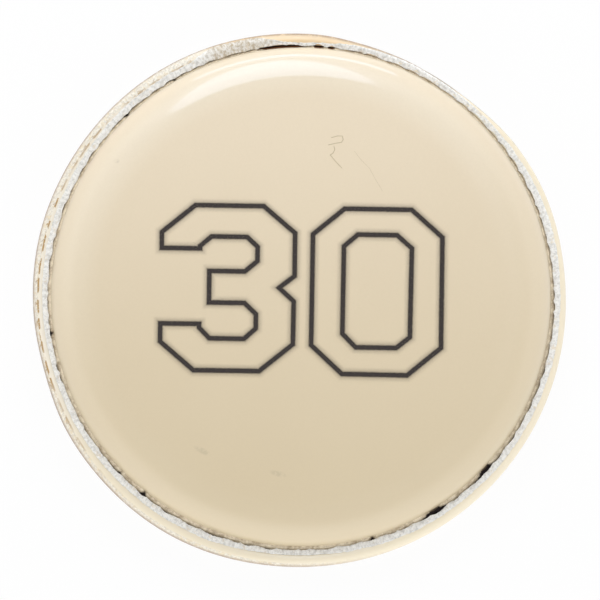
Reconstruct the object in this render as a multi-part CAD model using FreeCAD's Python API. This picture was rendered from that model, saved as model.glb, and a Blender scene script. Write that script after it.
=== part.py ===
import FreeCAD, Part

import math
import os

# Two-sided pressed button with a raised number face.
# The back half is a sheet-metal pan in a wrap of paper with a clear film bonded to it. The
# pan's rim is curled inwards, and the wrap is turned over that curl as a pleated hem.
# The number half is a wrapped sheet-metal dome. Its flared foot is trapped under the curl.
# The origin is the centre of the flat land that the button lies on, +Z points out of the
# number face, and +Y is the top of the number. Rounds are drawn as a few straight flats.

# Whole button, in millimetres
button_radius = 29.0  # outside of the wrap at the belt, the widest place

# Sheet stock
tin_thickness = 0.25
wrap_thickness = 0.2

# Back half, to the outside of its wrap
land_radius = 25.4  # flat land that the button lies on
belt_height = 3.3  # from the land up to the belt, where the curl begins
shoulder_flat_count = 3
rim_radius = 0.82  # of the curled rim
rim_flat_count = 2  # from the belt to the crest
curl_sweep = 160.0  # degrees that the sheet turns in the curl, from facing outwards

# Pleated hem of the back half's wrap, from the crest of the rim inwards
hem_reach = 0.74  # to the raw edge on top of a fold
scallop = 0.22  # how much shorter the hem is between two folds
pleat_count = 80
fold_drop = 0.06  # how far the raw edge lies below the crest on a fold
valley_drop = 0.14  # and between two folds

# Number half, to the outside of its wrap
seam_gap = 0.22  # open seam between the raw hem and the side of the dome
neck_height = 0.35  # of the narrowest place of the dome above the belt
dome_width = 3.4  # of the dome's round edge, seen from above
dome_height = 3.3  # from the neck to the flat top
dome_flat_count = 3
foot_clearance = 0.3  # between the flared foot and the inside of the belt
seat_clearance = 0.02  # between the foot and the pan that it rests in
turn_in = 2.2  # how far the dome's own wrap is turned in under its foot

# Collet: flat ring that pins the turned-in wrap inside the dome's foot
collet_clearance = 0.05  # to the inside of the dome's sheet
collet_width = 6.0

# Filler: board disc between the pan's land and the collet
filler_edge_gap = 0.6  # inside the edge of the land and that of the turned-in wrap
filler_clearance = 0.03  # below the collet

wall_thickness = wrap_thickness + tin_thickness
crest_r = button_radius - rim_radius


def place(r, z, turn=0.0):
    """The point at a radius and a height, turned about the axis by degrees."""
    angle = math.radians(turn)
    return FreeCAD.Vector(r * math.cos(angle), r * math.sin(angle), z)


def flats(r, z, across, up, start, end, count):
    """Points of a round about (r, z), without the first, by degrees from facing outwards."""
    points = []
    for step in range(1, count + 1):
        angle = math.radians(start + (end - start) * step / count)
        points.append((r + across * math.cos(angle), z + up * math.sin(angle)))
    return points


def inset(run, depth):
    """The run moved evenly to its left, which is the inside of each half's sheet."""
    ways = [math.atan2(q[1] - p[1], q[0] - p[0]) for p, q in zip(run, run[1:])]
    moved = []
    for (r, z), before, after in zip(run, ways[:1] + ways, ways + ways[-1:]):
        half = math.remainder(after - before, 2 * math.pi) / 2
        reach = depth / math.cos(half)
        inwards = before + half + math.pi / 2
        moved.append((r + reach * math.cos(inwards), z + reach * math.sin(inwards)))
    return moved


def turned(outline):
    """The solid that an outline sweeps in a full turn about the axis."""
    corners = [place(r, z) for r, z in outline]
    face = Part.Face(Part.makePolygon(corners + corners[:1]))
    return face.revolve(FreeCAD.Vector(), FreeCAD.Vector(0, 0, 1), 360)


def between(outer, inner):
    """The solid of revolution between two runs that go the same way."""
    return turned(outer + inner[::-1])


def height_at(run, radius):
    """Height of a run where it first reaches a radius."""
    for (r, z), (next_r, next_z) in zip(run, run[1:]):
        if r <= radius < next_r:
            return z + (next_z - z) * (radius - r) / (next_r - r)
    raise ValueError(f"no part of the run is {radius} mm from the axis")


# Outside of the back half, from the axis to the end of the curl
shoulder_width = button_radius - land_radius
pan_run = [(0, 0), (land_radius, 0)]
pan_run += flats(
    land_radius, belt_height, shoulder_width, belt_height, -90, 0, shoulder_flat_count
)
pan_run += flats(crest_r, belt_height, rim_radius, rim_radius, 0, 90, rim_flat_count)
to_crest = len(pan_run)
pan_run += flats(crest_r, belt_height, rim_radius, rim_radius, 90, curl_sweep, 1)

# Outside of the number half, from the end of its turned-in wrap to the axis
foot_r = button_radius - wall_thickness - foot_clearance
seat_z = height_at(inset(pan_run, wall_thickness), foot_r) + seat_clearance
neck_r = crest_r - hem_reach - seam_gap
neck_z = belt_height + neck_height
dome_run = [(foot_r - turn_in, seat_z), (foot_r, seat_z), (neck_r, neck_z)]
dome_run += flats(neck_r - dome_width, neck_z, dome_width, dome_height, 0, 90, dome_flat_count)
dome_run += [(0, neck_z + dome_height)]


def back_shell():
    """Sheet-metal pan with its rim curled inwards."""
    return between(inset(pan_run, wrap_thickness), inset(pan_run, wall_thickness))


def pleated_hem():
    """Raw hem of the wrap, gathered in folds that rise and reach further in."""
    crest_z = belt_height + rim_radius
    bite = wrap_thickness / 4
    sections = []
    for number in range(2 * pleat_count):
        short, drop = (scallop, valley_drop) if number % 2 else (0, fold_drop)
        edge_r = crest_r - hem_reach + short
        outline = [
            (crest_r + bite, crest_z - bite),
            (edge_r, crest_z - drop),
            (edge_r, crest_z - drop - wrap_thickness),
            (crest_r + bite, crest_z - wrap_thickness + bite),
        ]
        corners = [place(r, z, 180 * number / pleat_count) for r, z in outline]
        sections.append(Part.makePolygon(corners + corners[:1]))
    return Part.makeLoft(sections, True, True, True)


def back_wrap():
    """Cream wrap round the pan, with its pleated raw hem turned over the curl."""
    wrap = between(pan_run[:to_crest], inset(pan_run, wrap_thickness)[:to_crest])
    return wrap.fuse(pleated_hem())


def number_shell():
    """Sheet-metal dome with a flared foot, whose edge is pressed flat on its wrap."""
    outer = inset(dome_run, wrap_thickness)[1:]
    inner = inset(dome_run, wall_thickness)[1:]
    (foot, foot_z), (neck, side_z) = inner[:2]
    level = outer[0][1]
    edge = foot + (foot - neck) * (foot_z - level) / (side_z - foot_z)
    return between(outer, [(edge, level)] + inner[1:])


def number_wrap():
    """Printed wrap of the dome, turned in under its foot."""
    return between(dome_run, inset(dome_run, wrap_thickness))


def collet():
    """Flat ring on the turned-in wrap, caught under the flare of the dome's sheet."""
    rim = inset(dome_run, wall_thickness)[1][0] - collet_clearance
    hole = rim - collet_width
    low = seat_z + wrap_thickness
    top = low + tin_thickness
    return turned([(hole, low), (rim, low), (rim, top), (hole, top)])


def filler():
    """Board disc that fills the space between the pan's land and the collet."""
    radius = min(land_radius, foot_r - turn_in) - filler_edge_gap
    low = wall_thickness
    top = seat_z + wrap_thickness - filler_clearance
    return turned([(0, low), (radius, low), (radius, top), (0, top)])


pieces = {
    "back_shell": back_shell,
    "back_wrap": back_wrap,
    "number_shell": number_shell,
    "number_wrap": number_wrap,
    "collet": collet,
    "filler": filler,
}

os.makedirs("parts", exist_ok=True)
for name, make in pieces.items():
    shape = make()
    if not shape.isValid() or len(shape.Solids) != 1:
        raise ValueError(f"{name} isn't one valid solid")
    shape.Solids[0].exportStep(f"parts/{name}.step")
    print(name, round(shape.Volume, 2), "mm3")
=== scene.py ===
import math

import bmesh
import bpy
from mathutils import Matrix, Vector, noise


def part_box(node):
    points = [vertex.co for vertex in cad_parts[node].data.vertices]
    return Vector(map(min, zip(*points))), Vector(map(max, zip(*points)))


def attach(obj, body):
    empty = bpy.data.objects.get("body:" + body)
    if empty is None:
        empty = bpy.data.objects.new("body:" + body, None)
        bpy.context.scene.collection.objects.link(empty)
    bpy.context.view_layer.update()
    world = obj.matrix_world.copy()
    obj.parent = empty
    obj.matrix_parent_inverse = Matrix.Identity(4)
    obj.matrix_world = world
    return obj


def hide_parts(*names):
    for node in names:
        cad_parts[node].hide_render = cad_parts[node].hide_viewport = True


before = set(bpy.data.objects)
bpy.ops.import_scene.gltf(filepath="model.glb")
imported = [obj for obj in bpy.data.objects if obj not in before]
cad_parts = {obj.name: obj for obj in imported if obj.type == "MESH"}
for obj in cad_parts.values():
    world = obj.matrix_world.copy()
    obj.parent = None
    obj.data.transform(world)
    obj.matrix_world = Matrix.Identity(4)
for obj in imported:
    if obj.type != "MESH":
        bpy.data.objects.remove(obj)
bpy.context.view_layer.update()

mm = 0.001


# --- Sheet-metal pan and dome ------------------------------------------------------------
# The two pressed halves of tinplate. The pan's rim is curled inwards, and the dome's flared
# foot is caught under that curl. Both were pressed in a die, and the pan's rim has a dent.

belt_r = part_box("back_wrap")[1].x / mm  # outside of the rim, the widest place
crest_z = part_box("back_wrap")[1].z / mm
top_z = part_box("number_wrap")[1].z / mm
rim_radius = 0.82
crest_r = belt_r - rim_radius
belt_z = crest_z - rim_radius
land_r = 25.4
curl_sweep = 160  # degrees that the sheet turns in the curl, from facing outwards
wrap_thickness = 0.2
tin_thickness = 0.25

neck_r = 27.11
neck_z = belt_z + 0.35
foot_r = 28.25
foot_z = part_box("number_wrap")[0].z / mm
ink_room = 0.03  # left above the face for the ink and the hair
dome_height = top_z - ink_room - neck_z
dome_flat_r = 23.0  # the face is almost flat inside this
dome_crown = 0.2  # and this much lower at its edge than in the middle
dome_power = 2.5  # 2 would make the round edge an ellipse, and more makes it fuller
dome_shift = Vector((0.21, 0.33, 0))  # the dome was pressed in a little off the middle

rim_start_r = 27.4  # the pan is uneven from here outwards
belt_slack = 0.05  # how far the even parts of the rim stand in from the belt
# How far it stands out or in elsewhere, as (degrees round the button, half-width, millimetres)
rim_bulges = [(24, 20, 0.17), (52, 16, -0.38), (63, 14, -0.34), (75, 13, -0.26), (118, 40, 0.18)]
rim_bulges += [(190, 28, -0.2), (197, 14, -0.14), (243, 28, 0.16)]


def hump(degrees, centre, half_width):
    """1 at the centre, falling softly to 0 at the half-width on either side."""
    off = (degrees - centre + 180) % 360 - 180
    return math.cos(math.pi / 2 * off / half_width) ** 2 if abs(off) < half_width else 0.0


def humps(degrees, places):
    """The sum of humps that are given as (degrees, half-width, size)."""
    return sum(size * hump(degrees, at, wide) for at, wide, size in places)


def rim_place(angle, r, z):
    """A point of the back half, with the unevenness of the rim."""
    bulge = humps(math.degrees(angle), rim_bulges) - belt_slack
    share = min(max((r - rim_start_r) / (belt_r - rim_start_r), 0.0), 1.0)
    moved = r + bulge * share * share * (3 - 2 * share)
    return Vector((moved * math.cos(angle), moved * math.sin(angle), z))


def dome_place(angle, r, z):
    """A point of the number half."""
    return Vector((r * math.cos(angle), r * math.sin(angle), z)) + dome_shift


def arc(r, z, across, up, start, end, steps):
    """Points of a round about (r, z), by degrees from facing outwards."""
    turns = [math.radians(start + (end - start) * n / steps) for n in range(steps + 1)]
    return [(r + across * math.cos(t), z + up * math.sin(t)) for t in turns]


def show(name, data):
    """A new object in the scene."""
    piece = bpy.data.objects.new(name, data)
    bpy.context.scene.collection.objects.link(piece)
    return piece


def turned(name, outline, count, place):
    """The sheet that an outline sweeps round +Z. It runs from axis to axis or is a closed ring."""
    mesh = bpy.data.meshes.new(name)
    work = bmesh.new()
    rows = []
    for r, z in outline:
        turns = [0.0] if r == 0 else [2 * math.pi * n / count for n in range(count)]
        rows.append([work.verts.new(place(angle, r, z) * mm) for angle in turns])
    pairs = list(zip(rows, rows[1:]))
    if len(rows[0]) > 1:
        pairs.append((rows[-1], rows[0]))
    for near, far in pairs:
        for n in range(count):
            after = (n + 1) % count
            corners = [near[n % len(near)], near[after % len(near)]]
            corners += [far[after % len(far)], far[n % len(far)]]
            work.faces.new(list(dict.fromkeys(corners)))
    bmesh.ops.recalc_face_normals(work, faces=work.faces)
    work.to_mesh(mesh)
    work.free()
    mesh.shade_smooth()
    mesh.set_sharp_from_angle(angle=math.radians(50))
    return show(name, mesh)


def pan_outline(depth, curl_end, steps):
    """The pan's side from the axis to the end of its curl, at a depth inside the wrap."""
    run = [(r, depth) for r in (0, 6, 12, 18, 23)]
    wide = belt_r - land_r - depth
    run += arc(land_r, belt_z, wide, belt_z - depth, -90, 0, steps)
    return run + arc(crest_r, belt_z, rim_radius - depth, rim_radius - depth, 0, curl_end, steps)[1:]


def dome_level(r, share, depth):
    """Height of the dome, where a share of its round edge lies inside a radius."""
    height = dome_height - depth - dome_crown * min(r / dome_flat_r, 1) ** 2
    return neck_z + height * math.sqrt(1 - share**dome_power)


def dome_outline(depth, steps):
    """The dome's side from the axis to its neck, at a depth inside the number's wrap."""
    run = [(r, dome_level(r, 0, depth)) for r in range(0, round(dome_flat_r), 2)]
    for n in range(steps + 1):
        share = math.sin(math.pi / 2 * n / steps) ** (2 / dome_power)
        r = dome_flat_r + (neck_r - depth - dome_flat_r) * share
        run.append((r, dome_level(r, share, depth)))
    return run


wall_thickness = wrap_thickness + tin_thickness
pan_side = pan_outline(wrap_thickness, curl_sweep, 12)
pan_side += pan_outline(wall_thickness, curl_sweep, 12)[::-1]
pan = turned("pan_tinplate", pan_side, 360, rim_place)

dome_side = dome_outline(wrap_thickness, 16)
dome_side += [(foot_r - wrap_thickness, foot_z + wrap_thickness)]
dome_side += [(foot_r - wall_thickness - 0.05, foot_z + wrap_thickness)]
dome_side += dome_outline(wall_thickness, 16)[::-1]
dome = turned("dome_tinplate", dome_side, 240, dome_place)


def plug(tree, target, source):
    """Sets an input to a number or colour, or links it to an output."""
    if isinstance(source, bpy.types.NodeSocket):
        tree.links.new(source, target)
    else:
        target.default_value = source


def maths(tree, operation, *terms):
    """A sum that Blender's Math node does."""
    node = tree.nodes.new("ShaderNodeMath")
    node.operation = operation
    for socket, term in zip(node.inputs, terms):
        plug(tree, socket, term)
    return node.outputs["Value"]


def times(tree, first, *others):
    """The product of some values."""
    for other in others:
        first = maths(tree, "MULTIPLY", first, other)
    return first


def ramp(tree, value, low, high, to_low=0.0, to_high=1.0):
    """Softly takes a value's range from low to high to another range, and stays inside it."""
    node = tree.nodes.new("ShaderNodeMapRange")
    node.interpolation_type = "SMOOTHSTEP"
    titles = ("Value", "From Min", "From Max", "To Min", "To Max")
    for title, term in zip(titles, (value, low, high, to_low, to_high)):
        plug(tree, node.inputs[title], term)
    return node.outputs["Result"]


def span(tree, value, start, full, fading, end):
    """1 where a value lies from full to fading, and softly 0 before its start and after its end."""
    return times(tree, ramp(tree, value, start, full), ramp(tree, value, end, fading))


def blend_colours(tree, share, first, second):
    """The first colour with a share of the second."""
    node = tree.nodes.new("ShaderNodeMix")
    node.data_type = "RGBA"
    plug(tree, node.inputs["Factor"], share)
    plug(tree, node.inputs["A"], first)
    plug(tree, node.inputs["B"], second)
    return node.outputs["Result"]


def speckle(tree, where, scale, detail=4.0, roughness=0.55):
    """Fractal noise over a position, with a scale in waves for each metre."""
    node = tree.nodes.new("ShaderNodeTexNoise")
    titles = ("Vector", "Scale", "Detail", "Roughness")
    for title, value in zip(titles, (where, scale, detail, roughness)):
        plug(tree, node.inputs[title], value)
    return node.outputs["Fac"]


def axes(tree, vector):
    """The X, Y and Z of a position."""
    node = tree.nodes.new("ShaderNodeSeparateXYZ")
    tree.links.new(vector, node.inputs["Vector"])
    return list(node.outputs)


def new_finish(name):
    """A material with its shader and the position on the piece."""
    material = bpy.data.materials.new(name)
    material.use_nodes = True
    tree = material.node_tree
    where = tree.nodes.new("ShaderNodeTexCoord").outputs["Object"]
    return material, tree, tree.nodes["Principled BSDF"], where


def relief(tree, shader, height, depth):
    """Fine unevenness of the surface, with its depth in metres."""
    node = tree.nodes.new("ShaderNodeBump")
    node.inputs["Distance"].default_value = depth
    plug(tree, node.inputs["Height"], height)
    tree.links.new(node.outputs["Normal"], shader.inputs["Normal"])


def new_group(name, inputs, outputs):
    """An empty group of shader nodes, with its inputs' values and its outputs' names."""
    tree = bpy.data.node_groups.new(name, "ShaderNodeTree")
    for title, value in inputs.items():
        kind = "NodeSocketVector" if isinstance(value, tuple) else "NodeSocketFloat"
        tree.interface.new_socket(title, in_out="INPUT", socket_type=kind).default_value = value
    for title in outputs:
        tree.interface.new_socket(title, in_out="OUTPUT", socket_type="NodeSocketFloat")
    return tree, tree.nodes.new("NodeGroupInput").outputs, tree.nodes.new("NodeGroupOutput").inputs


def placed(tree, group, inputs):
    """Places a group of nodes in a material with values of its own, and gives its outputs."""
    node = tree.nodes.new("ShaderNodeGroup")
    node.node_tree = group
    for title, value in inputs.items():
        plug(tree, node.inputs[title], value)
    return list(node.outputs)


# Distance from the axis and height in millimetres, and degrees from +X, from 0 to 360
place_on_button, given, found = new_group(
    "place_on_button", {"Position": (0, 0, 0)}, ["Radius", "Height", "Degrees"]
)
x, y, z = (times(place_on_button, axis, 1 / mm) for axis in axes(place_on_button, given["Position"]))
squares = maths(place_on_button, "ADD", times(place_on_button, x, x), times(place_on_button, y, y))
plug(place_on_button, found["Radius"], maths(place_on_button, "SQRT", squares))
plug(place_on_button, found["Height"], z)
turn = times(place_on_button, maths(place_on_button, "ARCTAN2", y, x), 180 / math.pi)
plug(place_on_button, found["Degrees"], maths(place_on_button, "FLOORED_MODULO", turn, 360.0))

tinplate, tree, shader, where = new_finish("tinplate")
radius, height, degrees = placed(tree, place_on_button, {"Position": where})
grain = speckle(tree, where, 900, 6)
blotches = speckle(tree, where, 140, 5, 0.65)
steel = blend_colours(tree, grain, (0.5, 0.49, 0.46, 1), (0.66, 0.65, 0.62, 1))
# Dirt and rust have settled on the curl, under the hem
curl = times(tree, ramp(tree, height, 2.6, 3.3), ramp(tree, radius, 26.6, 27.2))
rusty = maths(tree, "MAXIMUM", curl, ramp(tree, blotches, 0.62, 0.74))
steel = blend_colours(tree, rusty, steel, (0.035, 0.018, 0.011, 1))
plug(tree, shader.inputs["Base Color"], steel)
plug(tree, shader.inputs["Roughness"], ramp(tree, blotches, 0.3, 0.7, 0.28, 0.5))
plug(tree, shader.inputs["Metallic"], maths(tree, "SUBTRACT", 1.0, rusty))
relief(tree, shader, grain, 0.01 * mm)

for piece, node in ((pan, "back_shell"), (dome, "number_shell")):
    piece.data.materials.append(tinplate)
    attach(piece, "root")
    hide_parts(node)


# --- Collet and filler -------------------------------------------------------------------
# Inside, a flat ring of tinplate pins the turned-in edge of the number's wrap, and a disc of
# grey-brown board fills the space below it.

board, tree, shader, where = new_finish("board")
fibres = speckle(tree, where, 700, 8, 0.7)
flecks = ramp(tree, speckle(tree, where, 2600, 3), 0.6, 0.68)
pulp = blend_colours(tree, fibres, (0.36, 0.29, 0.21, 1), (0.58, 0.5, 0.39, 1))
plug(tree, shader.inputs["Base Color"], blend_colours(tree, flecks, pulp, (0.2, 0.15, 0.1, 1)))
plug(tree, shader.inputs["Roughness"], ramp(tree, fibres, 0.3, 0.7, 0.85, 0.97))
relief(tree, shader, fibres, 0.04 * mm)

for name, finish in (("collet", tinplate), ("filler", board)):
    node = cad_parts[name]
    node.data.materials.clear()
    node.data.materials.append(finish)


# --- Cream wrap of the pan ---------------------------------------------------------------
# Cream paper with a clear film bonded to it, pressed smooth over the pan and its rim. It has
# dented with the rim, and its film is worn through in short golden dashes along the crest.

pleat_count = 80  # of the wrap's hem
wrap_sweep = 125  # degrees that it turns over the curl, to well under the hem

wrap_side = pan_outline(0, wrap_sweep, 22) + pan_outline(wrap_thickness, wrap_sweep, 10)[::-1]
wrap = turned("cream_wrap", wrap_side, 720, rim_place)

# Noise that is drawn out round the button. Round is its waves for each degree, and Across for
# each millimetre.
drawn_out, given, found = new_group(
    "noise_round_the_button",
    {"Degrees": 0.0, "Radius": 0.0, "Round": 1.0, "Across": 1.0, "Detail": 3.0, "Roughness": 0.55},
    ["Value"],
)
spread = drawn_out.nodes.new("ShaderNodeCombineXYZ")
plug(drawn_out, spread.inputs["X"], times(drawn_out, given["Degrees"], given["Round"]))
plug(drawn_out, spread.inputs["Y"], times(drawn_out, given["Radius"], given["Across"]))
waves = speckle(drawn_out, spread.outputs["Vector"], 1.0, given["Detail"], given["Roughness"])
plug(drawn_out, found["Value"], waves)

cream, tree, shader, where = new_finish("cream_film_on_paper")
radius, height, degrees = placed(tree, place_on_button, {"Position": where})
clouds = speckle(tree, where, 60, 4)
mottle = speckle(tree, where, 1500, 5, 0.7)
specks = speckle(tree, where, 4200, 4, 0.75)
paper = blend_colours(tree, clouds, (0.82, 0.73, 0.545, 1), (0.885, 0.79, 0.615, 1))
# Greyish rubs on the land, most of them near its edge, where the button lies on the table
rubs = ramp(tree, speckle(tree, where, 300, 6, 0.75), 0.5, 0.68, 0.0, 0.5)
rubs = times(tree, rubs, ramp(tree, radius, 12, 25, 0.3, 1.0), ramp(tree, height, 0.6, 0.1))
paper = blend_colours(tree, rubs, paper, (0.6, 0.51, 0.37, 1))
# Warm, lightly browned stretch at the top of the number
warm = times(tree, span(tree, degrees, 68, 82, 106, 122), ramp(tree, height, belt_z - 1, belt_z))
paper = blend_colours(tree, warm, paper, (0.89, 0.68, 0.42, 1))
# Paler and greyer on the left, where it has been handled most
side = ramp(tree, height, 1.2, 2.9)
faded = times(tree, span(tree, degrees, 104, 116, 195, 225), side, 0.8)
paper = blend_colours(tree, faded, paper, (0.85, 0.79, 0.68, 1))
# A line of wear follows the crest down the left. Outside it are grey and yellow specks.
measures = {"Degrees": degrees, "Radius": radius, "Round": 0.45, "Across": 1.6}
sway = placed(tree, drawn_out, measures)[0]
edge = maths(tree, "ADD", ramp(tree, degrees, 200, 240, 28.2, 28.55), times(tree, sway, 0.1))
beyond = maths(tree, "SUBTRACT", radius, edge)
left = span(tree, degrees, 108, 118, 262, 290)
worn = blend_colours(tree, ramp(tree, specks, 0.35, 0.65), (0.58, 0.53, 0.45, 1), (0.9, 0.85, 0.74, 1))
yellow = times(tree, ramp(tree, speckle(tree, where, 2300, 3, 0.6), 0.52, 0.62), 0.55)
worn = blend_colours(tree, yellow, worn, (0.74, 0.58, 0.32, 1))
outside = times(tree, ramp(tree, beyond, -0.03, 0.06), left, 0.75)
paper = blend_colours(tree, outside, paper, worn)
# On the line is one golden dash over each fold of the hem, with a short tick outwards from its
# middle. The dashes are patchy but on the far left, and they end before the bottom.
shifted = times(tree, maths(tree, "SUBTRACT", sway, 0.5), 1.6)
phase = maths(tree, "ADD", times(tree, degrees, pleat_count / 360), shifted)
off_middle = maths(tree, "ABSOLUTE", maths(tree, "SUBTRACT", maths(tree, "FRACT", phase), 0.5))
line = ramp(tree, maths(tree, "ABSOLUTE", beyond), 0.13, 0.05)
dashes = times(tree, ramp(tree, off_middle, 0.4, 0.28), line)
tick = times(tree, ramp(tree, off_middle, 0.1, 0.03), span(tree, beyond, -0.08, 0.0, 0.2, 0.38), 0.8)
patchy = ramp(tree, speckle(tree, where, 260, 3), 0.4, 0.58, 0.1, 0.75)
strong = maths(tree, "MAXIMUM", span(tree, degrees, 148, 160, 198, 206), patchy)
strong = times(tree, strong, ramp(tree, specks, 0.25, 0.5))
dashes = times(tree, maths(tree, "MAXIMUM", dashes, tick), ramp(tree, degrees, 235, 205), left, strong)
gold = blend_colours(tree, specks, (0.2, 0.09, 0.03, 1), (0.6, 0.39, 0.13, 1))
paper = blend_colours(tree, dashes, paper, gold)
# Painted shade in the round below the belt, a thin dark outline at the rim's edge, which reaches higher
# at the top and leaves out the right
higher = times(tree, ramp(tree, degrees, 50, 62), ramp(tree, degrees, 118, 84, 0.1, 0.3))
low = ramp(tree, maths(tree, "SUBTRACT", height, higher), 3.85, 3.45)
rim_shade_side = span(tree, degrees, 30, 55, 262, 300)
painted_rim_shade = times(tree, low, side, ramp(tree, mottle, 0.2, 0.5), rim_shade_side, 0.85)
paper = blend_colours(tree, painted_rim_shade, paper, (0.3, 0.2, 0.13, 1))
plug(tree, shader.inputs["Base Color"], paper)
plug(tree, shader.inputs["Roughness"], ramp(tree, mottle, 0.3, 0.7, 0.3, 0.5))
shader.inputs["Coat Weight"].default_value = 0.35
shader.inputs["Coat Roughness"].default_value = 0.25
relief(tree, shader, mottle, 0.006 * mm)

wrap.data.materials.append(cream)
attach(wrap, "root")


# --- Pleated raw hem ---------------------------------------------------------------------
# The same sheet turned over the curl. Its film and print end at the crest, and the bare white
# paper behind them is gathered in about eighty folds, torn and frayed along both its edges.

hem_turns = 2400  # points round the button
hem_rows = 18  # and across the hem, from the cream print to the torn edge in the seam
hem_outer_r = 28.08
hem_inner_r = 27.32
scallop = 0.2  # how much shorter the hem is between two folds
least_width = 0.12  # of the hem, where both its edges come close
hem_shift = Vector((0.21, 0.19, 0))  # the hem was turned over a little off the middle
# Where its border with the cream print lies further out, as (degrees, half-width, millimetres)
hem_spreads = [(15, 22, 0.1), (62, 24, 0.4), (110, 7, 0.6), (102, 9, 0.55), (90, 12, -0.4)]
hem_spreads += [(272, 25, -0.2)]
# Where its torn edge in the seam lies further out, so that the seam stands open
openings = [
    (302.5, 4.4, 0.12), (317.5, 3.6, 0.12), (95.0, 6.0, 0.16), (86.8, 1.2, 0.14), (83.9, 0.9, 0.14),
    (189.2, 1.2, 0.04), (225.0, 1.0, 0.03), (232.2, 1.6, 0.045), (287.0, 1.5, 0.045),
    (134.5, 1.7, 0.045), (121.0, 1.1, 0.04),
]  # fmt: skip
# And where it reaches further in
hem_reaches = [(283, 30, -0.15)]


def torn(angle, r, fine):
    """Unevenness of the paper at a place, from about -1 to 1, with its size in millimetres."""
    return noise.noise(Vector((r * math.cos(angle), r * math.sin(angle), 7.0)) / fine)


def wander(angle, level, waves):
    """A slow change round the button, from about -1 to 1."""
    return noise.noise(Vector((math.cos(angle), math.sin(angle), level)) * waves)


def from_ridge(turn):
    """How far a place is from the nearest fold's ridge: 0 on it, 1 in the valley."""
    return 2 * abs((turn + 0.5) % 1 - 0.5)


def curl_height(r):
    """Height of the curl at a radius, and of the hem that goes on almost level inside the crest."""
    beyond = r - crest_r
    if beyond > 0:
        return belt_z + math.sqrt(rim_radius**2 - min(beyond, rim_radius) ** 2)
    return crest_z + 0.12 * beyond


hem = bpy.data.meshes.new("raw_hem")
work = bmesh.new()
# Share of painted shade at each point of the hem, for its creases
crease_shade = work.verts.layers.float.new("crease_shade")
rows = [[] for _ in range(hem_rows + 5)]
for n in range(hem_turns):
    angle = 2 * math.pi * n / hem_turns
    degrees = math.degrees(angle)
    turn = pleat_count * n / hem_turns + 0.9 * wander(angle, 3.0, 9)
    depth = 0.7 + 0.8 * wander(angle, 5.0, 14)  # of this fold
    outer = hem_outer_r + 0.07 * torn(angle, 28, 1.6) + 0.07 * torn(angle, 28, 0.3)
    outer += humps(degrees, hem_spreads)
    notch = min(1.5 * from_ridge(turn), 1) ** 0.8
    inner = hem_inner_r + scallop * depth * notch + 0.05 * torn(angle, 27, 0.2)
    inner = min(inner + humps(degrees, openings + hem_reaches), outer - least_width)
    outwards = hem_shift.x * math.cos(angle) + hem_shift.y * math.sin(angle)
    for index, row in enumerate(rows[:hem_rows]):
        s = index / (hem_rows - 1)
        r = outer + (inner - outer) * s
        valley = from_ridge(turn + 0.3 * s)
        crumple = 0.035 * torn(angle, r, 0.42) + 0.03 * torn(angle, r, 0.16)
        fold = depth * (0.5 - valley) * (0.01 + 0.07 * s)
        rise = max(0.045 + fold + crumple * (0.3 + 0.7 * min(4 * s, 1)), 0.012)
        level = curl_height(r + outwards) + rise
        vert = work.verts.new((rim_place(angle, r, level) + hem_shift) * mm)
        # Painted shade, darkest in the fold valleys towards the torn edge and in dents
        vert[crease_shade] = min(max(1.5 * (valley - 0.75) * s - 9 * crumple - 0.1, 0), 1)
        row.append(vert)
    # Down into the seam from the torn edge, and back under the hem
    under = [(inner + 0.01, level - 0.12), (inner + 0.04, level - 0.24), (crest_r - 0.2, crest_z - 0.26)]
    under += [(crest_r + 0.02, crest_z - 0.1), (outer - 0.03, crest_z - 0.16)]
    for row, (r, z) in zip(rows[hem_rows:], under):
        row.append(work.verts.new((rim_place(angle, max(r, inner), z) + hem_shift) * mm))
for near, far in zip(rows, rows[1:] + rows[:1]):
    for n in range(hem_turns):
        after = (n + 1) % hem_turns
        work.faces.new((near[n], near[after], far[after], far[n]))
bmesh.ops.recalc_face_normals(work, faces=work.faces)
work.to_mesh(hem)
work.free()
hem.shade_smooth()
raw_hem = show("raw_hem", hem)

raw_paper, tree, shader, where = new_finish("raw_white_paper")
radius, height, degrees = placed(tree, place_on_button, {"Position": where})
measures = {"Degrees": degrees, "Radius": radius, "Round": 1.5, "Across": 2.2}
streaks = placed(tree, drawn_out, {**measures, "Detail": 5.0, "Roughness": 0.7})[0]
fibre = speckle(tree, where, 5200, 5, 0.7)
light = ramp(tree, streaks, 0.35, 0.6)
white = blend_colours(tree, light, (0.66, 0.65, 0.62, 1), (0.91, 0.90, 0.87, 1))
stained = times(tree, ramp(tree, speckle(tree, where, 1300, 4, 0.7), 0.56, 0.68), 0.5)
white = blend_colours(tree, stained, white, (0.74, 0.62, 0.44, 1))
# Painted shade darkens the creases of the folds and the dents
crease_shade_input = tree.nodes.new("ShaderNodeAttribute")
crease_shade_input.attribute_name = "crease_shade"
painted_crease_shade = times(tree, crease_shade_input.outputs["Fac"], ramp(tree, fibre, 0.25, 0.6, 0.3, 0.8))
white = blend_colours(tree, painted_crease_shade, white, (0.4, 0.36, 0.32, 1))
# Where the hem has frayed right across the rim it is soiled
frayed = span(tree, degrees, 92, 101, 108, 114)
frayed = times(tree, frayed, ramp(tree, streaks, 0.6, 0.35, 0.25, 1.0), 0.9)
white = blend_colours(tree, frayed, white, (0.52, 0.42, 0.28, 1))
plug(tree, shader.inputs["Base Color"], white)
plug(tree, shader.inputs["Roughness"], ramp(tree, fibre, 0.3, 0.7, 0.85, 0.98))
relief(tree, shader, fibre, 0.03 * mm)

raw_hem.data.materials.append(raw_paper)
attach(raw_hem, "root")
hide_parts("back_wrap")


# --- Dust in the seam --------------------------------------------------------------------
# Tan dust and paper fluff packed into the seam round the face. It has fallen out where the
# hem stands open, and there the bare curl is painted near-black, as painted shade in the seam.

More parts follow.
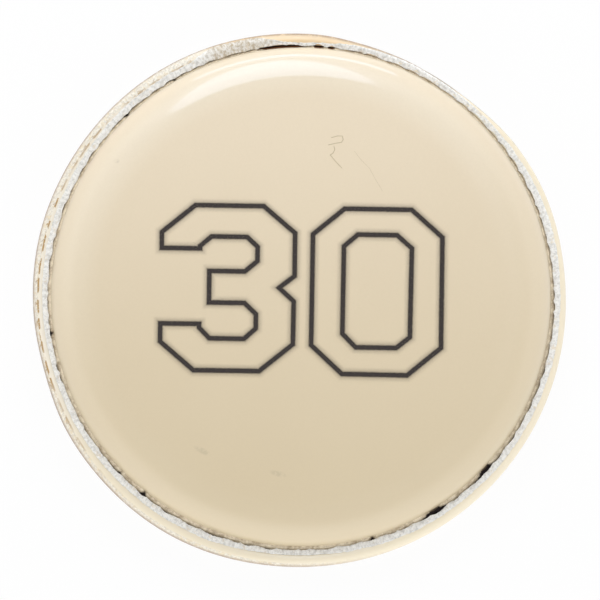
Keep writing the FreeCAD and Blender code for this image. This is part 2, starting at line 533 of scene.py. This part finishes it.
dust_inner_r = 26.9
dust_outer_r = 27.62
dust_z = 4.0
dust_floor_z = 3.4  # bare curl, where the dust has fallen out
wide_opening = 0.13  # millimetres from which most of the seam's width has no dust
dust_run = [(dust_inner_r, 3.5), (26.96, dust_z + 0.06), (27.1, dust_z + 0.04), (27.26, dust_z - 0.02)]
dust_run += [(27.38, dust_z - 0.16), (27.5, dust_z - 0.26), (dust_outer_r, 3.45)]


def dust_place(angle, r, z):
    """A point of the dust, which is uneven, and missing in the openings."""
    degrees = math.degrees(angle)
    share = (r - dust_inner_r) / (dust_outer_r - dust_inner_r)
    loose = 0.0
    for at, wide, size in openings:
        reach = share + (0.6 if size > wide_opening else 0.2) + 0.3 * torn(angle, r, 0.25)
        loose += min(16 * size, 2.5) * hump(degrees, at, wide * max(reach, 0.05))
    # At the top some is left on the curl
    loose = min(loose, 0.72 if 76 < degrees < 110 else 1)
    rise = 0.05 * torn(angle, r, 0.5) + 0.04 * torn(angle, r, 0.13) - 0.5 * loose
    centre = dome_shift.lerp(hem_shift, share)
    return Vector((r * math.cos(angle), r * math.sin(angle), max(z + rise, dust_floor_z))) + centre


dust = turned("seam_dust", dust_run, 1440, dust_place)

seam_dust, tree, shader, where = new_finish("seam_dust")
radius, height, degrees = placed(tree, place_on_button, {"Position": where})
lumps = speckle(tree, where, 1600, 5, 0.7)
tan = blend_colours(tree, ramp(tree, lumps, 0.3, 0.65), (0.42, 0.33, 0.22, 1), (0.8, 0.7, 0.53, 1))
# The bare curl below is rusty at the top, and almost black elsewhere as painted shade deep in the seam,
# which also darkens the dust where it lies low by the hem
rust = span(tree, degrees, 76, 82, 100, 110)
seam_shade_and_rust = blend_colours(tree, rust, (0.05, 0.036, 0.036, 1), (0.4, 0.15, 0.06, 1))
tan = blend_colours(tree, ramp(tree, height, 3.82, 3.62), tan, seam_shade_and_rust)
plug(tree, shader.inputs["Base Color"], tan)
plug(tree, shader.inputs["Roughness"], ramp(tree, lumps, 0.3, 0.7, 0.85, 0.97))
relief(tree, shader, lumps, 0.03 * mm)

dust.data.materials.append(seam_dust)
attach(dust, "root")


# --- Number face -------------------------------------------------------------------------
# Printed cream paper with a clear gloss film bonded to it, drawn over the dome, down its side
# into the seam, and turned in under its foot. Where it enters the seam it is darkened, as grime and
# painted shade.

turned_in_r = foot_r - 2.2
face_side = dome_outline(0, 40)
face_side += [(foot_r - 0.4, 2.8), (foot_r, foot_z), (turned_in_r, foot_z)]
face_side += [(turned_in_r, foot_z + wrap_thickness), (foot_r - 0.2, foot_z + wrap_thickness)]
face_side += dome_outline(wrap_thickness - 0.02, 16)[::-1]
face = turned("number_face", face_side, 480, dome_place)

printed_film, tree, shader, where = new_finish("printed_face_under_film")
radius, height, degrees = placed(tree, place_on_button, {"Position": where})
x, y, z = axes(tree, where)
clouds = speckle(tree, where, 45, 4)
print_dots = speckle(tree, where, 3800, 2)
fuzz = speckle(tree, where, 1500, 4, 0.7)
# It is painted darker towards the bottom and lighter towards the top, as painted light falling from above
# the number,
shaded_low_tone = blend_colours(tree, clouds, (0.65, 0.536, 0.353, 1), (0.68, 0.566, 0.378, 1))
lit_high_tone = blend_colours(tree, clouds, (0.762, 0.643, 0.473, 1), (0.797, 0.678, 0.503, 1))
paper = blend_colours(tree, ramp(tree, y, -24 * mm, 27 * mm), shaded_low_tone, lit_high_tone)
# and is painted paler near its round edge, as a painted reflection of the bright surroundings, most of
# all at the upper left
on_right = times(tree, ramp(tree, x, 16 * mm, 25 * mm), 0.85)
painted_edge_sheen = times(
    tree, span(tree, radius, 21.3, 24.2, 25.0, 27.0), maths(tree, "SUBTRACT", 1.0, on_right)
)
painted_edge_sheen = times(tree, painted_edge_sheen, ramp(tree, y, -14 * mm, 14 * mm, 0.06, 0.3))
paper = blend_colours(tree, painted_edge_sheen, paper, (0.9, 0.82, 0.67, 1))
paper = blend_colours(tree, times(tree, print_dots, 0.12), paper, (0.5, 0.41, 0.27, 1))
# Faint scuffs and specks, as (millimetres right and up, length, width, degrees of turn)
scuffs = [(-10.3, -16.8, 1.3, 0.4, -25), (-2.2, -19.1, 1.1, 0.4, -15), (-20.0, 14.4, 0.35, 0.3, 0)]
for right, up, long, wide, lean in scuffs:
    cosine, sine = math.cos(math.radians(lean)), math.sin(math.radians(lean))
    across = maths(tree, "SUBTRACT", x, right * mm)
    above = maths(tree, "SUBTRACT", y, up * mm)
    along = times(tree, across, cosine / (long * mm))
    along = maths(tree, "ADD", along, times(tree, above, sine / (long * mm)))
    aside = times(tree, above, cosine / (wide * mm))
    aside = maths(tree, "SUBTRACT", aside, times(tree, across, sine / (wide * mm)))
    away = maths(tree, "ADD", times(tree, along, along), times(tree, aside, aside))
    scuff = times(tree, ramp(tree, away, 1.0, 0.0), ramp(tree, fuzz, 0.35, 0.6, 0, 0.3))
    paper = blend_colours(tree, scuff, paper, (0.36, 0.3, 0.2, 1))
# Darker with depth into the seam, as grime and painted shade together
uneven = times(tree, speckle(tree, where, 500, 5, 0.7), 0.5)
seam_grime_and_shade = ramp(tree, maths(tree, "SUBTRACT", height, uneven), 3.8, 3.4)
paper = blend_colours(tree, seam_grime_and_shade, paper, (0.3, 0.22, 0.14, 1))
plug(tree, shader.inputs["Base Color"], paper)
plug(tree, shader.inputs["Roughness"], ramp(tree, clouds, 0.3, 0.7, 0.34, 0.42))
shader.inputs["Coat Weight"].default_value = 1.0
shader.inputs["Coat IOR"].default_value = 1.6
shader.inputs["Coat Roughness"].default_value = 0.06
relief(tree, shader, speckle(tree, where, 110, 3), 0.01 * mm)

face.data.materials.append(printed_film)
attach(face, "root")
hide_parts("number_wrap")


# --- Printed number ----------------------------------------------------------------------
# The number 30 in block figures, drawn as a thin near-black outline. It is ink, printed on
# the paper under the film, so it has the film's gloss and slightly soft edges.

ink_width = 0.36
ink_edges = [(0.0, 1.0), (0.1, 0.35), (0.2, 0.16), (0.6, 0.0)]  # (outwards, share of cover)
ink_lift = 0.006
ink_step = 0.35  # length of a piece of line, so that it follows the crown of the face
number_shift = Vector((0.07, 0.78))

# Corners of each outline, in millimetres from the middle of the number
three = [
    (-11.51, 8.96), (-4.17, 8.96), (-0.75, 6.1), (-0.75, 1.45), (-2.4, 0.15), (-0.81, -1.3),
    (-0.85, -5.94), (-4.46, -8.88), (-11.53, -8.88), (-15.15, -5.83), (-15.15, -3.88), (-10.97, -3.88),
    (-10.97, -4.28), (-9.84, -5.42), (-6.12, -5.42), (-4.87, -4.28), (-4.87, -2.73), (-6.12, -1.55),
    (-9.94, -1.55), (-9.94, 1.86), (-6.12, 1.86), (-4.77, 3), (-4.77, 4.55), (-5.91, 5.59),
    (-9.74, 5.59), (-10.97, 4.55), (-10.97, 4.28), (-15.1, 4.28), (-15.1, 6),
]  # fmt: skip
zero_outer = [
    (4.58, 8.83), (11.82, 8.83), (15.17, 5.89), (15.13, -6.06), (11.51, -9.09), (4.47, -9.05),
    (1.12, -5.99), (1.18, 6),
]  # fmt: skip
zero_inner = [
    (6.03, 6.05), (10.26, 6.05), (11.88, 4.65), (11.76, -4.97), (10.3, -6.15), (5.92, -6.15),
    (4.47, -4.7), (4.54, 4.76),
]  # fmt: skip


def face_height(x, y):
    """Height of the number face above a place on the button."""
    return dome_level(math.hypot(x - dome_shift.x, y - dome_shift.y), 0, 0)


def mitred(corners, offset):
    """A closed outline moved sideways. Its corners stay sharp, and none runs out far."""
    moved = []
    for before, here, after in zip(corners[-1:] + corners[:-1], corners, corners[1:] + corners[:1]):
        ways = [(Vector(here) - Vector(before)).normalized(), (Vector(after) - Vector(here)).normalized()]
        sides = [Vector((way.y, -way.x)) for way in ways]
        middle = (sides[0] + sides[1]).normalized()
        moved.append(Vector(here) + middle * offset / max(middle.dot(sides[0]), 0.35))
    return moved


work = bmesh.new()
cover = work.verts.layers.float.new("cover")
lanes = [(-ink_width / 2 - out, amount) for out, amount in reversed(ink_edges)]
lanes += [(ink_width / 2 + out, amount) for out, amount in ink_edges]
for corners in (three, zero_outer, zero_inner):
    ends = zip(corners, corners[1:] + corners[:1])
    steps = [max(1, round((Vector(end) - Vector(start)).length / ink_step)) for start, end in ends]
    rings = []
    for offset, amount in lanes:
        moved = mitred(corners, offset)
        ring = []
        for start, end, count in zip(moved, moved[1:] + moved[:1], steps):
            for n in range(count):
                at = start.lerp(end, n / count) + number_shift
                vert = work.verts.new(Vector((at.x, at.y, face_height(at.x, at.y) + ink_lift)) * mm)
                vert[cover] = amount
                ring.append(vert)
        rings.append(ring)
    for near, far in zip(rings, rings[1:]):
        for n in range(len(near)):
            after = (n + 1) % len(near)
            work.faces.new((near[n], near[after], far[after], far[n]))
for patch in work.faces:
    patch.normal_update()
    if patch.normal.z < 0:
        patch.normal_flip()
mesh = bpy.data.meshes.new("printed_number")
work.to_mesh(mesh)
work.free()
mesh.shade_smooth()
number = show("printed_number", mesh)

ink, tree, shader, where = new_finish("ink_under_film")
dots = speckle(tree, where, 6500, 3, 0.6)
tone = blend_colours(tree, dots, (0.02, 0.015, 0.014, 1), (0.048, 0.038, 0.034, 1))
plug(tree, shader.inputs["Base Color"], tone)
plug(tree, shader.inputs["Roughness"], ramp(tree, dots, 0.3, 0.7, 0.36, 0.44))
shader.inputs["Specular IOR Level"].default_value = 0.1
shader.inputs["Coat Weight"].default_value = 1.0
shader.inputs["Coat Roughness"].default_value = 0.02
covered = tree.nodes.new("ShaderNodeAttribute")
covered.attribute_name = "cover"
solid = times(tree, covered.outputs["Fac"], ramp(tree, dots, 0.3, 0.7, 0.8, 1.2))
plug(tree, shader.inputs["Alpha"], maths(tree, "MINIMUM", solid, 1.0))

number.data.materials.append(ink)
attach(number, "root")


# --- Hair under the film -----------------------------------------------------------------
# A hair caught between print and film above the number, with a finer one beside it. The film
# over it is pushed up a little.

# Points of each run in millimetres right and up, with its share of the hair's width
hair_runs = [
    ([(3.1, 17.3), (3.8, 17.5), (4.3, 17.5), (4.4, 17.1), (4.2, 16.8), (3.6, 16.7), (2.8, 16.5)], 1.0),
    ([(3.4, 16.4), (3.5, 16.0), (3.3, 15.6), (3.0, 15.4), (3.2, 15.2), (3.7, 14.6), (4.3, 14.0)], 1.0),
    ([(5.6, 15.9), (6.3, 15.0), (7.3, 14.0), (7.9, 12.9), (8.7, 11.6)], 0.35),
]  # fmt: skip
hair_width = 0.09
hair_sink = 0.02  # how far its middle lies below the face
curve = bpy.data.curves.new("hair_under_film", "CURVE")
curve.dimensions = "3D"
curve.bevel_depth = hair_width / 2 * mm
curve.bevel_resolution = 1
for run, thickness in hair_runs:
    strand = curve.splines.new("NURBS")
    strand.points.add(len(run) - 1)
    for point, (x, y) in zip(strand.points, run):
        at = Vector((x, y, face_height(x, y) - hair_sink * thickness)) * mm
        point.co = (*at, 1)
        point.radius = thickness
    strand.order_u = 2
    strand.use_endpoint_u = True
hair = show("hair_under_film", curve)

hair_brown, tree, shader, where = new_finish("brown_hair")
tone = blend_colours(tree, speckle(tree, where, 3000, 2), (0.4, 0.32, 0.19, 1), (0.54, 0.44, 0.28, 1))
plug(tree, shader.inputs["Base Color"], tone)
shader.inputs["Roughness"].default_value = 0.4

hair.data.materials.append(hair_brown)
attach(hair, "root")


# --- Floor, light and camera -------------------------------------------------------------
# A plain pale floor, an even soft light, a window and a bright line that only the gloss shows,
# and the camera almost straight above, a little towards the lower left.

# The floor lies just under the button, so that their faces don't meet. Soft light passes through
# it, and from below it is clear, so that the underside is lit and can be looked at.
floor_drop = 0.02 * mm
floor_glow = 0.94  # share of plain white in what the camera sees of it. The rest takes shadows.

mesh = bpy.data.meshes.new("floor")
work = bmesh.new()
bmesh.ops.create_grid(work, x_segments=2, y_segments=2, size=1.2)
work.to_mesh(mesh)
work.free()
floor = show("floor", mesh)
floor.location.z = -floor_drop
floor.visible_diffuse = floor.visible_shadow = False

pale, tree, shader, where = new_finish("pale_floor")
shader.inputs["Base Color"].default_value = (0.86, 0.86, 0.86, 1)
shader.inputs["Roughness"].default_value = 0.9
path = tree.nodes.new("ShaderNodeLightPath").outputs
seen = maths(tree, "MAXIMUM", path["Is Camera Ray"], path["Is Glossy Ray"])
seen = maths(tree, "MAXIMUM", seen, path["Is Transmission Ray"])
glow = tree.nodes.new("ShaderNodeEmission")
top = tree.nodes.new("ShaderNodeMixShader")
plug(tree, top.inputs["Fac"], times(tree, seen, floor_glow))
tree.links.new(shader.outputs["BSDF"], top.inputs[1])
tree.links.new(glow.outputs["Emission"], top.inputs[2])
clear = tree.nodes.new("ShaderNodeBsdfTransparent")
one_sided = tree.nodes.new("ShaderNodeMixShader")
plug(tree, one_sided.inputs["Fac"], tree.nodes.new("ShaderNodeNewGeometry").outputs["Backfacing"])
tree.links.new(top.outputs["Shader"], one_sided.inputs[1])
tree.links.new(clear.outputs["BSDF"], one_sided.inputs[2])
tree.links.new(one_sided.outputs["Shader"], tree.nodes["Material Output"].inputs["Surface"])
floor.data.materials.append(pale)

# Gloss shows white walls under a darker ceiling. Everything else gets an even light that is
# brighter from low down, as from a white table, and the camera sees plain white.
world = bpy.data.worlds.new("studio")
world.use_nodes = True
bpy.context.scene.world = world
tree = world.node_tree
path = tree.nodes.new("ShaderNodeLightPath").outputs
mirrored = maths(tree, "MAXIMUM", path["Is Glossy Ray"], path["Is Transmission Ray"])
sky = axes(tree, tree.nodes.new("ShaderNodeTexCoord").outputs["Generated"])[2]
ambient = ramp(tree, sky, 0.05, 0.6, 1.0, 0.46)
room = ramp(tree, sky, 0.7, 0.99, 1.0, 0.4)
strength = times(tree, mirrored, maths(tree, "SUBTRACT", room, ambient))
strength = maths(tree, "MAXIMUM", maths(tree, "ADD", ambient, strength), path["Is Camera Ray"])
plug(tree, tree.nodes["Background"].inputs["Strength"], strength)
tree.nodes["Background"].inputs["Color"].default_value = (1, 1, 1, 1)


def soft_light(name, shape, bearing, elevation, distance, wide, tall, lean, brightness, tint):
    """A soft lamp that faces the button, by degrees round it and above the floor."""
    lamp = bpy.data.lights.new(name, "AREA")
    lamp.shape = shape
    lamp.size = wide
    lamp.size_y = tall
    area = wide * tall * (math.pi / 4 if shape == "ELLIPSE" else 1)
    lamp.energy = brightness * math.pi * area
    lamp.color = tint
    light = show(name, lamp)
    bearing, elevation = math.radians(bearing), math.radians(elevation)
    flat = math.cos(elevation)
    way = Vector((flat * math.cos(bearing), flat * math.sin(bearing), math.sin(elevation)))
    turn = way.to_track_quat("Z", "Y").to_matrix() @ Matrix.Rotation(math.radians(lean), 3, "Z")
    light.matrix_world = Matrix.Translation(way * distance) @ turn.to_4x4()
    return light


# A tall window over the top of the number and a bright line below it, which show only in the
# gloss, as a crescent and a streak
for pane in (
    soft_light("window", "ELLIPSE", 95, 51.6, 1.0, 0.43, 0.88, 6, 2.75, (0.56, 0.72, 1.0)),
    soft_light("low_strip", "RECTANGLE", 90, 8, 0.9, 0.75, 0.18, 0, 3.0, (0.4, 0.66, 1.0)),
):
    pane.visible_diffuse = False
# Lamps that give only even light, with nothing of them in the gloss
neutral = (0.97, 0.985, 1.0)
for fill in (
    soft_light("softbox", "ELLIPSE", 94, 37, 0.32, 0.19, 0.38, -8, 3.0, neutral),
    soft_light("left_panel", "RECTANGLE", 150, 35, 0.8, 0.5, 0.7, 0, 0.8, neutral),
    soft_light("right_panel", "RECTANGLE", 45, 35, 0.8, 0.5, 0.7, 0, 0.8, neutral),
    soft_light("front_panel", "RECTANGLE", 272, 22, 0.6, 1.4, 0.45, 0, 1.6, neutral),
):
    fill.visible_glossy = False

camera_elevation = 84.5
camera_azimuth = -27.0
camera_roll = 0.7
camera_distance = 0.75
picture_side = 64.93 * mm  # width of the picture at the button
button_in_picture = Vector((-0.092, 0.043)) * mm  # its middle from the picture's, right and up

camera = show("camera", bpy.data.cameras.new("camera"))
camera.data.sensor_width = 36.0
camera.data.lens = 36.0 * camera_distance / picture_side
elevation, azimuth = math.radians(camera_elevation), math.radians(camera_azimuth)
flat = math.cos(elevation)
back = Vector((math.sin(azimuth) * flat, -math.cos(azimuth) * flat, math.sin(elevation)))
up = (Vector((0, 1, 0)) - back * back.y).normalized()
up = Matrix.Rotation(math.radians(camera_roll), 3, back) @ up
right = up.cross(back)
aim = Vector((0, 0, belt_z * mm)) - right * button_in_picture.x - up * button_in_picture.y
turn = Matrix((right, up, back)).transposed()
camera.matrix_world = Matrix.Translation(aim + back * camera_distance) @ turn.to_4x4()
bpy.context.scene.camera = camera
bpy.context.scene.view_settings.view_transform = "Standard"
